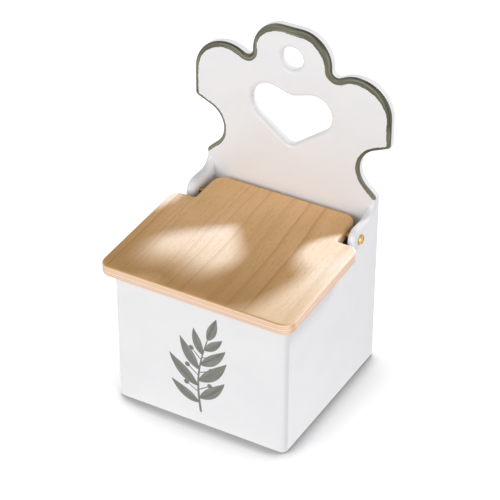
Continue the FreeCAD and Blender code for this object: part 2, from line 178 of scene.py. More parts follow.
class Net:
    """Node tree of one material or world, filled through one general node method."""

    octave_share = 0.55

    def __init__(self, tree: bpy.types.NodeTree) -> None:
        """Empties the tree that the net fills."""
        self.tree = tree
        tree.nodes.clear()

    def node(
        self, kind: str, settings: Optional[dict] = None, sockets: Optional[dict] = None
    ) -> bpy.types.Node:
        """Adds a node.

        Args:
            kind: node type without the words ShaderNode in front.
            settings: properties that are set first, such as a Math node's operation.
            sockets: input name or number, with a value or a term to link.

        Returns:
            The node.
        """
        made = self.tree.nodes.new("ShaderNode" + kind)
        for key, value in (settings or {}).items():
            setattr(made, key, value)
        for key, value in (sockets or {}).items():
            if isinstance(value, Term):
                self.tree.links.new(value.socket, made.inputs[key])
            else:
                made.inputs[key].default_value = value
        return made

    def term(self, node: bpy.types.Node, output: Union[str, int] = 0) -> Term:
        """Wraps one of a node's outputs."""
        return Term(self, node.outputs[output])

    def maths(self, operation: str, *operands: Operand) -> Term:
        """Adds a Math node on the operands, in order."""
        made = self.node("Math", {"operation": operation}, dict(enumerate(operands)))
        return self.term(made)

    def vector(self, operation: str, *operands: object) -> Term:
        """Adds a Vector Math node on the operands, in order."""
        made = self.node("VectorMath", {"operation": operation}, dict(enumerate(operands)))
        return self.term(made)

    def mix(self, share: Operand, first: object, second: object) -> Term:
        """Mixes two colours, each a term or a colour.

        Args:
            share: 0 gives the first colour and 1 the second.
            first: first colour.
            second: second colour.

        Returns:
            The mixed colour.
        """
        ends = [end if isinstance(end, Term) else (*end, 1.0) for end in (first, second)]
        made = self.node("Mix", {"data_type": "RGBA"}, {0: share, 6: ends[0], 7: ends[1]})
        return self.term(made, 2)

    def noise(self, place: Term, rates: Rates, octaves: Octaves) -> Term:
        """Noise between about 0 and 1 that runs at its own rate along each axis.

        Args:
            place: position.
            rates: waves per unit of position along X, Y and Z.
            octaves: number of finer octaves.

        Returns:
            The noise value.
        """
        made = self.node(
            "TexNoise",
            {"noise_dimensions": "3D"},
            {
                "Vector": self.vector("MULTIPLY", place, rates),
                "Scale": 1.0,
                "Detail": octaves.value,
                "Roughness": self.octave_share,
            },
        )
        return self.term(made)

    def place_mm(self, shift: Vector = Vector(), turn: Euler = Euler()) -> Term:
        """Position on the piece in millimetres.

        Args:
            shift: what is added after the turn, in millimetres.
            turn: turn about the frame's origin.

        Returns:
            The position, from Object coordinates.
        """
        coordinates = self.term(self.node("TexCoord"), "Object")
        made = self.node(
            "Mapping",
            {"vector_type": "POINT"},
            {
                "Vector": coordinates,
                "Location": tuple(shift),
                "Rotation": tuple(turn),
                "Scale": (1.0 / MM, 1.0 / MM, 1.0 / MM),
            },
        )
        return self.term(made)

    def brush_mm(self) -> Term:
        """Position in a brush mark: along it, across it and a number of its own."""
        return self.term(self.node("Attribute", {"attribute_name": BRUSH}), "Vector")

    def brush_load(self) -> Term:
        """How much colour the brush held: 1 when full, towards 0 when nearly dry."""
        return self.term(self.node("Attribute", {"attribute_name": LOAD}), "Fac")

    def parts(self, vector: Term) -> tuple[Term, Term, Term]:
        """Splits a vector into its three numbers."""
        made = self.node("SeparateXYZ", None, {0: vector})
        return tuple(self.term(made, axis) for axis in range(3))

    def bump(self, height: Term, lift: float, strength: float) -> Term:
        """Bump from a height between 0 and 1.

        Args:
            height: the height.
            lift: what a height of 1 stands up, in millimetres.
            strength: share of the bump that is used.

        Returns:
            The bumped normal.
        """
        made = self.node(
            "Bump", None, {"Height": height, "Distance": lift * MM, "Strength": strength}
        )
        return self.term(made)

    def surface(self, sockets: dict) -> None:
        """Ends the net in a Principled surface with these sockets."""
        shader = self.node("BsdfPrincipled", None, sockets)
        self.node("OutputMaterial", None, {"Surface": self.term(shader)})


def new_material(name: str) -> tuple[bpy.types.Material, Net]:
    """Makes an empty material.

    Args:
        name: name of the material.

    Returns:
        The material and the net that fills it.
    """
    material = bpy.data.materials.new(name)
    material.use_nodes = True
    return material, Net(material.node_tree)


@dataclass(frozen=True)
class Glaze:
    """White glaze on a cast pot, with a bare buff foot.

    The glaze pools and thins a little, and its face waves gently as a casting does, with a
    fine peel on top. Below the foot line the clay is bare and gritty.
    """

    white: Colour = (0.87, 0.868, 0.868)
    pooled: Colour = (0.835, 0.838, 0.842)
    pool_rates: Rates = (0.035, 0.035, 0.05)
    pool_range: Range = (0.35, 0.7)
    pool_share: float = 0.5
    pool_roughness: float = 0.08
    wave_rates: Rates = (0.05, 0.05, 0.04)
    wave_height: float = 0.75
    peel_rates: Rates = (0.45, 0.45, 0.45)
    peel_height: float = 0.06
    clay: Colour = (0.62, 0.5, 0.38)
    dark_clay_share: float = 0.72
    grit_rates: Rates = (1.6, 1.6, 1.6)
    grit_share: float = 0.5
    grit_height: float = 0.2
    foot_line: float = 0.35
    foot_waver: float = 0.5
    foot_blur: float = 0.1
    gloss_roughness: float = 0.22
    clay_roughness: float = 0.85
    ior: float = 1.5
    relief: float = 0.5
    relief_share: float = 0.35

    def material(self) -> bpy.types.Material:
        """Builds the finish.

        Returns:
            The material.
        """
        made, net = new_material("white_glaze")
        place = net.place_mm()
        _, _, height = net.parts(place)
        pools = net.noise(place, self.pool_rates, Octaves.SOFT)
        waves = net.noise(place, self.wave_rates, Octaves.PLAIN)
        peel = net.noise(place, self.peel_rates, Octaves.SOFT)
        grit = net.noise(place, self.grit_rates, Octaves.FINE)
        level = height + peel.swing() * self.foot_waver
        bare = level.step(self.foot_line + self.foot_blur, self.foot_line - self.foot_blur)
        glaze = net.mix(pools.step(*self.pool_range) * self.pool_share, self.white, self.pooled)
        dark_clay = tuple(self.dark_clay_share * part for part in self.clay)
        clay = net.mix(grit * self.grit_share, self.clay, dark_clay)
        relief = waves * self.wave_height + peel * self.peel_height + bare * grit * self.grit_height
        gloss = self.gloss_roughness + pools.swing() * self.pool_roughness
        net.surface(
            {
                "Base Color": net.mix(bare, glaze, clay),
                "Roughness": gloss + bare * (self.clay_roughness - self.gloss_roughness),
                "IOR": self.ior,
                "Normal": net.bump(relief, self.relief, self.relief_share),
            }
        )
        return made


@dataclass(frozen=True)
class BrushPaint:
    """Grey-green ceramic colour laid on by hand with a brush.

    The colour runs thick and thin in streaks along the stroke, lies darkest in a line where
    the brush left most of it, and washes out where the brush ran dry. Rates are along the
    mark, across it and from mark to mark.
    """

    name: str
    full: Colour = (0.118, 0.114, 0.064)
    thin: Colour = (0.235, 0.222, 0.14)
    thick: Colour = (0.03, 0.026, 0.014)
    wash: Colour = (0.31, 0.275, 0.19)
    wash_share: float = 0.8
    streak_place: float = 0.6
    streak_width: float = 1.1
    streak_share: float = 0.75
    streak_wander: float = 1.6
    wander_rates: Rates = (0.03, 0.0, 7.0)
    hair_rates: Rates = (0.035, 0.7, 3.0)
    thin_hairs: Range = (0.5, 0.36)
    thin_share: float = 0.9
    thick_hairs: Range = (0.5, 0.64)
    thick_share: float = 0.5
    hair_height: float = 0.6
    load_rates: Rates = (0.06, 0.2, 5.0)
    load_range: Range = (0.25, 0.5)
    load_height: float = 0.4
    roughness: float = 0.32
    roughness_spread: float = 0.2
    ior: float = 1.5
    relief: float = 0.12
    relief_share: float = 0.4

    def material(self) -> bpy.types.Material:
        """Builds the finish.

        Across the mark, the dark line falls off as one over one plus the fourth power of the
        way from its middle, in line widths.

        Returns:
            The material.
        """
        made, net = new_material(self.name)
        brush = net.brush_mm()
        _, across, _ = net.parts(brush)
        hairs = net.noise(brush, self.hair_rates, Octaves.FINE)
        load = net.noise(brush, self.load_rates, Octaves.SOFT)
        wander = net.noise(brush, self.wander_rates, Octaves.PLAIN)
        middle = self.streak_place + wander.swing() * (2.0 * self.streak_wander)
        offset = (across - middle) / self.streak_width
        ridge = 1.0 / (1.0 + (offset * offset) ** 2.0)
        streak = ridge * load.step(*self.load_range) * self.streak_share
        dark = streak + hairs.step(*self.thick_hairs) * self.thick_share
        colour = net.mix(hairs.step(*self.thin_hairs) * self.thin_share, self.full, self.thin)
        colour = net.mix(dark, colour, self.thick)
        colour = net.mix((1.0 - net.brush_load()) * self.wash_share, colour, self.wash)
        relief = hairs * self.hair_height + load * self.load_height
        net.surface(
            {
                "Base Color": colour,
                "Roughness": self.roughness + hairs.swing() * self.roughness_spread,
                "IOR": self.ior,
                "Normal": net.bump(relief, self.relief, self.relief_share),
            }
        )
        return made


@dataclass(frozen=True)
class Beech:
    """Oiled beech board, sawn so that the yearly rings cut its faces at a low slope.

    Rings are cylinders about a pith that runs from front to back far below the board. Each
    ring darkens slowly and ends in a thin line of late wood. Fibres run from front to back,
    and short dark rays fleck them. Towards the front the board is painted darker, as shade.
    The sawn edges are paler, most of all the end grain in front, and show layers that lie
    along the faces; the end grain's paleness is partly painted light, as the front edge
    faces the softboxes while the top lies in shade. Places are from the hinge, in the plane
    of the closed lid.
    """

    slope: float = 2.8
    pith_x: float = 100.0
    pith_z: float = -400.0
    ring_width: float = 2.3
    drift_rates: Rates = (0.015, 0.006, 0.015)
    drift: float = 4.0
    ripple_rates: Rates = (0.25, 0.02, 0.25)
    ripple: float = 0.25
    year_rate: float = 0.21
    year_spread: float = 2.0
    late: Colour = (0.38, 0.17, 0.045)
    late_power: float = 6.0
    late_end: Range = (1.0, 0.92)
    late_least_share: float = 0.15
    late_own_share: float = 0.65
    late_height: float = 0.2
    early: Colour = (0.9, 0.57, 0.28)
    honey: Colour = (0.82, 0.485, 0.21)
    cloud_rates: Rates = (0.03, 0.012, 0.03)
    cloud_range: Range = (0.3, 0.7)
    # Painted shade: the colour the board is darkened to towards its front.
    shaded_front: Colour = (0.6, 0.33, 0.12)
    shaded_front_range: Range = (-5.0, -80.0)
    shaded_front_waver: float = 40.0
    shaded_front_share: float = 0.92
    fibre_rates: Rates = (1.5, 0.03, 1.5)
    fibre_range: Range = (0.45, 0.75)
    fibre_share: float = 0.2
    fibre_height: float = 0.7
    ray: Colour = (0.4, 0.2, 0.075)
    ray_rates: Rates = (1.9, 0.3, 1.9)
    ray_range: Range = (0.54, 0.72)
    ray_share: float = 0.26
    ray_depth: float = 0.3
    lit_end_grain: Colour = (0.88, 0.65, 0.47)
    side_grain: Colour = (0.74, 0.46, 0.25)
    sawn_range: Range = (0.8, 0.4)
    end_range: Range = (0.3, 0.7)
    layer: Colour = (0.4, 0.21, 0.11)
    layer_width: float = 1.6
    layer_start: float = 10.5
    layer_waver: float = 0.35
    layer_least_share: float = 0.7
    layer_cloud_share: float = 0.6
    seam_range: Range = (0.33, 0.5)
    seam_share: float = 0.45
    turned_share: float = 0.16
    roughness: float = 0.5
    roughness_spread: float = 0.25
    ior: float = 1.45
    specular: float = 0.3
    relief: float = 0.14
    relief_share: float = 0.4

    def late_lines(self, net: Net, place: Term, ripple: Term) -> tuple[Term, Term]:
        """Lines of late wood where the yearly rings end.

        The way from the pith, in ring widths, gives a ring's number by its whole part. The
        rest grows from 0 to 1, and the line is a high power of it that drops at the end.

        Args:
            net: net of the material.
            place: position on the board.
            ripple: noise that ripples the rings.

        Returns:
            The lines, and a strength for each ring of its own.
        """
        across, _, through = net.parts(place)
        drift = net.noise(place, self.drift_rates, Octaves.PLAIN)
        side = across - self.pith_x
        rise = through - self.pith_z
        from_pith = (side * side + rise * rise) ** 0.5
        radius = from_pith + drift * self.drift + ripple * self.ripple
        years = net.node(
            "TexNoise",
            {"noise_dimensions": "1D"},
            {"W": radius * self.year_rate, "Scale": 1.0, "Detail": Octaves.PLAIN.value},
        )
        ring = radius / self.ring_width + net.term(years) * self.year_spread
        count = net.maths("FLOOR", ring)
        grown = ring - count
        own = net.node("TexWhiteNoise", {"noise_dimensions": "1D"}, {"W": count})
        line = grown**self.late_power * grown.step(*self.late_end)
        return line, self.late_least_share + net.term(own, "Value") * self.late_own_share

    def sawn_edge(self, net: Net, through: Term, ripple: Term, clouds: Term, front: Term) -> Term:
        """Colour of the sawn edges, with dark seams between layers of two tones.

        Args:
            net: net of the material.
            through: height in the board.
            ripple: noise that ripples the layers.
            clouds: noise that fades them here and there.
            front: how far the edge faces the front or the back.

        Returns:
            The colour.
        """
        stack = through / self.layer_width + ripple.swing() * self.layer_waver + self.layer_start
        level = net.maths("FLOOR", stack)
        within = net.maths("ABSOLUTE", (stack - level).swing())
        turned = net.maths("MODULO", level, 2.0)
        seams = within.step(*self.seam_range) * self.seam_share + turned * self.turned_share
        # Edges facing front or back get the pale end grain, whose paleness is partly painted light.
        edge = net.mix(front.step(*self.end_range), self.side_grain, self.lit_end_grain)
        shown = self.layer_least_share + clouds * self.layer_cloud_share
        return net.mix(seams * shown, edge, self.layer)

    def material(self) -> bpy.types.Material:
        """Builds the finish.

        Returns:
            The material.
        """
        made, net = new_material("oiled_beech")
        turn = Euler((math.radians(-self.slope), 0.0, 0.0))
        place = net.place_mm(-(turn.to_matrix() @ Vector(HINGE)), turn)
        _, along, through = net.parts(place)
        normal = net.term(net.node("TexCoord"), "Normal")
        _, front, top = (net.maths("ABSOLUTE", part) for part in net.parts(normal))
        ripple = net.noise(place, self.ripple_rates, Octaves.SOFT)
        clouds = net.noise(place, self.cloud_rates, Octaves.SOFT)
        fibres = net.noise(place, self.fibre_rates, Octaves.FINE)
        rays = net.noise(place, self.ray_rates, Octaves.PLAIN).step(*self.ray_range)
        line, strength = self.late_lines(net, place, ripple)
        # Painted shade: the board is painted darker towards its front, away from the hinge.
        front_shade = (along + clouds * self.shaded_front_waver).step(*self.shaded_front_range)
        wood = net.mix(clouds.step(*self.cloud_range), self.early, self.honey)
        wood = net.mix(front_shade * self.shaded_front_share, wood, self.shaded_front)
        wood = net.mix(line * strength, wood, self.late)
        wood = net.mix(fibres.step(*self.fibre_range) * self.fibre_share, wood, self.late)
        wood = net.mix(rays * self.ray_share, wood, self.ray)
        edge = self.sawn_edge(net, through, ripple, clouds, front)
        grain = fibres * self.fibre_height - rays * self.ray_depth + line * self.late_height
        net.surface(
            {
                "Base Color": net.mix(top.step(*self.sawn_range), wood, edge),
                "Roughness": self.roughness + fibres.swing() * self.roughness_spread,
                "IOR": self.ior,
                "Specular IOR Level": self.specular,
                "Normal": net.bump(grain, self.relief, self.relief_share),
            }
        )
        return made


@dataclass(frozen=True)
class Brass:
    """Turned brass with fine tool marks, a little tarnish, and painted shade in the screws' slots.

    A head is the cap of a ball. A point of the head that lies nearer to the ball's middle
    than the ball's radius is down in the slot, and the further down, the darker it is
    painted, as shade. The head's rim is tarnished too.
    """

    head_under: float = 61.1
    head_blur: Range = (0.1, 0.3)
    head_top: float = 62.8
    head_radius: float = 3.4
    ball_radius: float = 4.25
    bright: Colour = (0.7, 0.47, 0.14)
    tarnish: Colour = (0.33, 0.2, 0.05)
    rim_width: float = 0.7
    rim_share: float = 0.7
    film_rates: Rates = (0.7, 0.7, 0.7)
    film_range: Range = (0.42, 0.72)
    film_share: float = 0.6
    # Colour of the painted shade in the slots.
    slot_shade: Colour = (0.045, 0.028, 0.01)
    slot_shade_depths: Range = (0.08, 0.45)
    mark_rates: Rates = (6.0, 0.9, 0.9)
    roughness: float = 0.26
    tarnish_roughness: float = 0.25
    slot_shade_roughness: float = 0.4
    mark_roughness: float = 0.16
    relief: float = 0.05
    relief_share: float = 0.35

    def material(self) -> bpy.types.Material:
        """Builds the finish.

        Returns:
            The material.
        """
        made, net = new_material("screw_brass")
        place = net.place_mm()
        across, along, up = net.parts(place)
        out = net.maths("ABSOLUTE", across)
        rise = out - (self.head_top - self.ball_radius)
        ahead = along - HINGE[1]
        above = up - HINGE[2]
        spoke = ahead * ahead + above * above
        depth = self.ball_radius - (spoke + rise * rise) ** 0.5
        head = out.step(*(self.head_under + blur for blur in self.head_blur))
        # Painted shade: the slot darkens, and loses its metal, the deeper it lies below the dome.
        slot = depth.step(*self.slot_shade_depths) * head
        rim = (spoke**0.5).step(self.head_radius - self.rim_width, self.head_radius)
        marks = net.noise(place, self.mark_rates, Octaves.FINE)
        film = net.noise(place, self.film_rates, Octaves.FINE).step(*self.film_range)
        dull = net.maths("MAXIMUM", film * self.film_share, rim * self.rim_share)
        worn = self.roughness + dull * self.tarnish_roughness + slot * self.slot_shade_roughness
        net.surface(
            {
                "Base Color": net.mix(slot, net.mix(dull, self.bright, self.tarnish), self.slot_shade),
                "Metallic": 1.0 - slot,
                "Roughness": worn + marks.swing() * self.mark_roughness,
                "Normal": net.bump(marks, self.relief, self.relief_share),
            }
        )
        return made


def shells(name: str, rings: np.ndarray, brush: np.ndarray) -> bpy.types.Object:
    """Makes one object from closed shells that are all gridded alike.

    Each shell is a stack of closed rings: ring i is joined to ring i + 1 by quads, and a
    pole at the mean of each end ring closes the shell with a fan. A shell whose signed
    volume comes out negative has its rings reversed, so every face points outwards.

    Args:
        name: name of the object.
        rings: places in millimetres, shaped (shells, rings, points on a ring, 3).
        brush: for each of them, the place along and across the brush mark, the mark's own
            number and the brush's load, shaped (shells, rings, points on a ring, 4).

    Returns:
        The object, at the origin, with its place in its mesh.
    """
    number, rows, columns, _ = rings.shape
    middle = rings.mean(axis=(1, 2), keepdims=True)
    here = rings - middle
    beside = np.roll(here, -1, axis=2)
    flux = np.einsum("sijk,sijk->s", here[:, :-1], np.cross(here[:, 1:], beside[:, :-1]))
    inside_out = (flux < 0)[:, None, None, None]
    rings = np.where(inside_out, rings[:, :, ::-1], rings)
    brush = np.where(inside_out, brush[:, :, ::-1], brush)
    poles = rings[:, [0, -1]].mean(axis=2)
    pole_brush = brush[:, [0, -1]].mean(axis=2)
    flat = rings.reshape(number, rows * columns, 3)
    flat_brush = brush.reshape(number, rows * columns, 4)
    points = np.concatenate([flat, poles], axis=1).reshape(-1, 3) * MM
    marks = np.concatenate([flat_brush, pole_brush], axis=1).reshape(-1, 4).astype(np.float32)
    grid = np.arange(rows * columns).reshape(rows, columns)
    after = np.roll(grid, -1, axis=1)
    quads = np.stack([grid[:-1], grid[1:], after[1:], after[:-1]], axis=-1).reshape(-1, 4)
    first, last = rows * columns, rows * columns + 1
    start = np.stack([np.full(columns, first), grid[0], after[0]], axis=-1)
    end = np.stack([np.full(columns, last), after[-1], grid[-1]], axis=-1)
    fans = np.concatenate([start, end])
    offsets = (np.arange(number) * (rows * columns + 2))[:, None, None]
    mesh = bpy.data.meshes.new(name)
    mesh.from_pydata(
        points.tolist(),
        [],
        (quads + offsets).reshape(-1, 4).tolist() + (fans + offsets).reshape(-1, 3).tolist(),
    )
    mesh.polygons.foreach_set("use_smooth", np.ones(len(mesh.polygons), dtype=bool))
    layer = mesh.attributes.new(BRUSH, "FLOAT_VECTOR", "POINT")
    layer.data.foreach_set("vector", marks[:, :3].ravel())
    layer = mesh.attributes.new(LOAD, "FLOAT", "POINT")
    layer.data.foreach_set("value", marks[:, 3].copy())
    mesh.update()
    piece = bpy.data.objects.new(name, mesh)
    bpy.context.scene.collection.objects.link(piece)
    return piece


def paint_on_pot(name: str, marks: Marks, paint: bpy.types.Material) -> None:
    """Makes a painted piece, sets it on the pot and logs it.

    Args:
        name: name of the piece.
        marks: its rings and brush marks, as shells takes them.
        paint: its finish.
    """
    piece = shells(name, *marks)
    piece.data.materials.append(paint)
    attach(piece, Body.POT.value)
    LOG.info("%s rides on %s, %d faces", name, Body.POT.value, len(piece.data.polygons))


def dress(node: Node, material: bpy.types.Material) -> None:
    """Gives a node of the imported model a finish.

    Args:
        node: the node.
        material: the finish.
    """
    piece = frame["nodes"][node.value]
    for slot in piece.material_slots:
        slot.material = material
    LOG.info("%s dressed in %s", piece.name, material.name)


@dataclass
class PlateBand:
    """Painted band on the front arris of the scalloped back plate.

    The path is the plate's outline: straight runs between corners, each rounded to its
    radius. Across the path, the section starts on the front face, runs a wavering reach to
    the start of the arris and then round the arris' quarter circle. A corner is its X, its Z
    and its radius, for the right half from the bottom up.
    """

    front_y: float = 52.8
    arris: float = 2.0
    half_corners: tuple = (
        (60.8, 124.6, 4.0),
        (35.4, 147.8, 16.0),
        (69.0, 162.2, 3.0),
        (69.0, 219.7, 23.0),
        (27.5, 198.1, 4.0),
        (27.5, 227.3, 21.0),
    )
    end_height: float = 123.0
    reach_at_corners: tuple = (0.6, 0.5, 0.6, 3.4, 2.2, 4.0, 2.3, 2.7, 1.7, 0.8, 0.55, 0.6)
    reach_on_runs: tuple = (0.5, 0.5, 1.2, 2.7, 3.4, 3.3, 1.0, 2.2, 1.0, 0.6, 0.6)
    least_reach: float = 0.35
    waver: float = 0.14
    waver_rates: Rates = (0.31, 0.83, 1.9)
    waver_shares: tuple = (1.0, 0.7, 0.5)
    waver_starts: tuple = (0.0, 1.0, 0.0)
    sections: int = 520
    points_across: int = 15
    corner_points: int = 24
    end_length: float = 2.2
    end_gap: float = 0.02
    proud: float = 0.09
    sunk: float = 0.06
    root: float = 0.4
    dry_length: float = 60.0
    dry_load: float = 0.2
    finish: BrushPaint = field(
        default_factory=lambda: BrushPaint(
            "band_colour",
            streak_place=0.4,
            streak_width=0.6,
            streak_share=0.95,
            streak_wander=4.0,
        )
    )

    def path(self) -> tuple[np.ndarray, np.ndarray, np.ndarray]:
        """Rounds the outline's corners and samples it evenly.

        At a corner the arc's centre lies on the bisector, at the radius over the cosine of
        half the turn, and the arc sweeps the turn about the middle of the corner. The reach
        runs straight between its stations, plus three sine waves.

        Returns:
            Points (n, 2) in X and Z, outward directions (n, 2), and the reach (n,).
        """
        right = np.array(self.half_corners)
        left = right[::-1] * (-1.0, 1.0, 1.0)
        corners = np.concatenate([right, left])
        points, radii = corners[:, :2], corners[:, 2]
        foot = np.array([[right[0, 0], self.end_height], [-right[0, 0], self.end_height]])
        chain = np.concatenate([foot[:1], points, foot[1:]])
        runs = np.diff(chain, axis=0)
        headings = np.arctan2(runs[:, 1], runs[:, 0])
        turns = (np.diff(headings) + np.pi) % (2 * np.pi) - np.pi
        side = np.sign(turns)
        middle = headings[:-1] + turns / 2
        inward = np.stack([-np.sin(middle), np.cos(middle)], axis=-1) * side[:, None]
        centres = points + inward * (radii / np.cos(turns / 2))[:, None]
        sweep = np.linspace(-0.5, 0.5, self.corner_points)
        angles = middle[:, None] + turns[:, None] * sweep
        spokes = np.stack([np.sin(angles), -np.cos(angles)], axis=-1)
        arcs = centres[:, None] + spokes * (radii * side)[:, None, None]
        line = np.concatenate([foot[:1], arcs.reshape(-1, 2), foot[1:]])
        steps = np.linalg.norm(np.diff(line, axis=0), axis=1)
        length = np.concatenate([[0.0], np.cumsum(steps)])
        even = np.linspace(0.0, length[-1], self.sections)
        path = np.stack([np.interp(even, length, line[:, k]) for k in range(2)], axis=-1)
        tangent = np.gradient(path, axis=0)
        tangent /= np.linalg.norm(tangent, axis=1, keepdims=True)
        outward = np.stack([tangent[:, 1], -tangent[:, 0]], axis=-1)
        at_corner = length[1:-1].reshape(len(corners), -1).mean(axis=1)
        at_run = (at_corner[1:] + at_corner[:-1]) / 2
        stations = np.concatenate([at_corner, at_run])
        reaches = np.concatenate([self.reach_at_corners, self.reach_on_runs])
        order = np.argsort(stations)
        reach = np.interp(even, stations[order], reaches[order])
        waves = np.sin(np.outer(even, self.waver_rates) + self.waver_starts)
        reach = reach + self.waver * (waves @ np.array(self.waver_shares))
        return path, outward, np.maximum(reach, self.least_reach)

    def rings(self) -> Marks:
        """Carries the band's section along the path.

        The upper side of the section stands proud in the middle and dips into the glaze at
        both edges, as one minus the fourth power of the way from the middle. The under side
        lies at the root's depth. At the ends the section draws in as a half ellipse does, and
        the load falls with the square of the way into the dry length.

        Returns:
            The rings (1, sections, points on a ring, 3) and the brush marks (..., 4).
        """
        path, outward, reach = self.path()
        spacing = np.linalg.norm(np.diff(path, axis=0), axis=1).mean()
        along = np.arange(self.sections) * spacing
        to_end = np.minimum(along, along[-1] - along) + self.end_gap
        draw = np.sqrt(1.0 - np.clip(1.0 - to_end / self.end_length, 0.0, 1.0) ** 2)
        quarter = self.arris * np.pi / 2
        way = np.linspace(-1.0, 1.0, self.points_across)
        way = np.concatenate([way, way[::-1]])
        upper = np.arange(way.size) < self.points_across
        lift = np.where(
            upper, (self.proud + self.sunk) * (1.0 - way**4) - self.sunk, -self.root
        )
        half = (reach + quarter) / 2 * draw
        middle = (quarter - reach) / 2
        across = middle[:, None] + half[:, None] * way
        on_face = np.minimum(across, 0.0)
        swing = np.maximum(across, 0.0) / self.arris
        radius = self.arris + lift
        out = on_face + radius * np.sin(swing) - self.arris
        back = self.arris - radius * np.cos(swing)
        x = path[:, :1] + outward[:, :1] * out
        z = path[:, 1:] + outward[:, 1:] * out
        rings = np.stack([x, self.front_y + back, z], axis=-1)
        from_arris = across - quarter / 2
        dry = np.clip(1.0 - to_end / self.dry_length, 0.0, 1.0) ** 2
        load = 1.0 - (1.0 - self.dry_load) * dry
        even = np.ones(across.shape)
        mark = np.stack(
            [along[:, None] * even, from_arris, 0.0 * even, load[:, None] * even], axis=-1
        )
        return rings[None], mark[None]

    def build(self) -> None:
        """Makes the band and sets it on the pot."""
        paint_on_pot("painted_band", self.rings(), self.finish.material())


@dataclass
class FrontSprig:
    """Painted sprig of plain leaves and berries on the front of the pot.

    A stem bends gently upwards, pairs of leaves leave it by turns, and berries sit on short
    stalks between them. Every brush mark is a low closed dome whose root lies in the glaze.
    Heights are ways up the stem, from 0 to 1, and sides are -1 on the left and 1 on the right.
    """

    front_y: float = -59.8
    foot: tuple = (1.0, 9.0)
    top: tuple = (6.0, 67.0)
    bow: float = 4.0
    stem_half_width: float = 0.9
    stem_taper: float = 0.55
    stem_foot_share: float = 1.0 / 30.0
    stem_end_share: float = 0.01
    leaf_heights: tuple = (0.14, 0.2, 0.36, 0.43, 0.58, 0.65, 0.79, 0.86, 1.0)
    leaf_sides: tuple = (-1.0, 1.0, -1.0, 1.0, -1.0, 1.0, -1.0, 1.0, 0.0)
    leaf_lengths: tuple = (24.0, 26.0, 28.5, 29.0, 26.0, 25.0, 20.0, 18.0, 19.5)
    leaf_leans: tuple = (66.0, 63.0, 58.0, 56.0, 50.0, 49.0, 42.0, 40.0, -8.0)
    leaf_bends: tuple = (-26.0, -24.0, -22.0, -26.0, -20.0, -24.0, -18.0, -16.0, 10.0)
    leaf_half_widths: tuple = (3.6, 3.8, 4.1, 4.1, 3.8, 3.7, 3.2, 3.0, 3.3)
    leaf_power: float = 0.8
    berry_heights: tuple = (0.28, 0.31, 0.5, 0.54, 0.72, 0.75)
    berry_sides: tuple = (-1.0, 1.0, -1.0, 1.0, -1.0, 1.0)
    berry_stalk: float = 8.4
    berry_lean: float = 58.0
    berry_radius: float = 1.8
    berry_overlap: float = 0.3
    stalk_half_width: float = 0.36
    rows: int = 33
    columns: int = 24
    proud: float = 0.16
    root: float = 0.4
    edge: float = 0.02
    full_half_width: float = 1.2
    least_share: float = 0.004
    stem_number: float = 1.0
    leaf_number: float = 10.0
    stalk_number: float = 30.0
    berry_number: float = 40.0
    finish: BrushPaint = field(
        default_factory=lambda: BrushPaint(
            "sprig_colour",
            full=(0.2, 0.206, 0.176),
            thin=(0.26, 0.266, 0.23),
            thick=(0.125, 0.128, 0.105),
            streak_place=0.0,
            streak_width=1.5,
            streak_share=0.45,
        )
    )

    def stem_at(self, share: np.ndarray) -> tuple[np.ndarray, np.ndarray]:
        """Place and heading on the stem.

        The stem is the line from foot to top, bowed to the left by a half sine wave.

        Args:
            share: way up the stem, from 0 to 1.

        Returns:
            Points (..., 2) in X and Z, and headings in radians from +X.
        """
        foot, top = np.array(self.foot), np.array(self.top)
        line = top - foot
        bulge = self.bow * np.sin(np.pi * share)
        point = foot + share[..., None] * line + bulge[..., None] * np.array((-1.0, 0.0))
        lean = line - (self.bow * np.pi * np.cos(np.pi * share))[..., None] * np.array((1.0, 0.0))
        return point, np.arctan2(lean[..., 1], lean[..., 0])

    def marks(self, spine: np.ndarray, half_width: np.ndarray, first_number: float) -> Marks:
        """Domes brush marks over their spines.

        Round each spine point runs a flat ring: the half width times the cosine to the side,
        and times the sine it stands proud in front or sinks to its root behind.

        Args:
            spine: points (marks, rows, 2) in X and Z.
            half_width: half widths (marks, rows).
            first_number: number of the first mark, which keeps their streaks apart.

        Returns:
            The rings (marks, rows, columns, 3) and the brush marks (..., 4).
        """
        tangent = np.gradient(spine, axis=1)
        tangent /= np.linalg.norm(tangent, axis=2, keepdims=True)
        aside = np.stack([tangent[..., 1], -tangent[..., 0]], axis=-1)
        turn = np.linspace(0.0, 2 * np.pi, self.columns, endpoint=False)
        reach = half_width[..., None] * np.cos(turn)
        full = np.clip(half_width / self.full_half_width, 0.0, 1.0)[..., None]
        sine = np.sin(turn)
        lift = np.where(sine > 0, self.proud * full * np.sqrt(np.abs(sine)), self.root * sine)
        x = spine[..., :1] + aside[..., :1] * reach
        z = spine[..., 1:] + aside[..., 1:] * reach
        y = self.front_y + self.edge - lift
        rings = np.stack([x, y, z], axis=-1)
        steps = np.linalg.norm(np.diff(spine, axis=1), axis=2)
        along = np.concatenate([np.zeros((len(spine), 1)), np.cumsum(steps, axis=1)], axis=1)
        number = first_number + np.arange(len(spine))[:, None, None]
        even = np.ones(x.shape)
        brush = np.stack([along[..., None] * even, reach, number * even, even], axis=-1)
        return rings, brush

    def bent_spines(
        self, start: np.ndarray, heading: np.ndarray, length: np.ndarray, bend: np.ndarray
    ) -> np.ndarray:
        """Spines that set off on a heading and turn evenly.

        Each step points along the heading plus the bend times the way gone, and the steps
        are summed.

        Args:
            start: points (marks, 2).
            heading: headings (marks,) in radians.
            length: lengths (marks,).
            bend: whole turns (marks,) in radians.

        Returns:
            Points (marks, rows, 2).
        """
        way = np.linspace(0.0, 1.0, self.rows)
        between = (way[1:] + way[:-1]) / 2
        angle = heading[:, None] + bend[:, None] * between
        steps = np.stack([np.cos(angle), np.sin(angle)], axis=-1)
        steps *= (length / (self.rows - 1))[:, None, None]
        gone = np.concatenate([np.zeros((len(start), 1, 2)), np.cumsum(steps, axis=1)], axis=1)
        return start[:, None] + gone

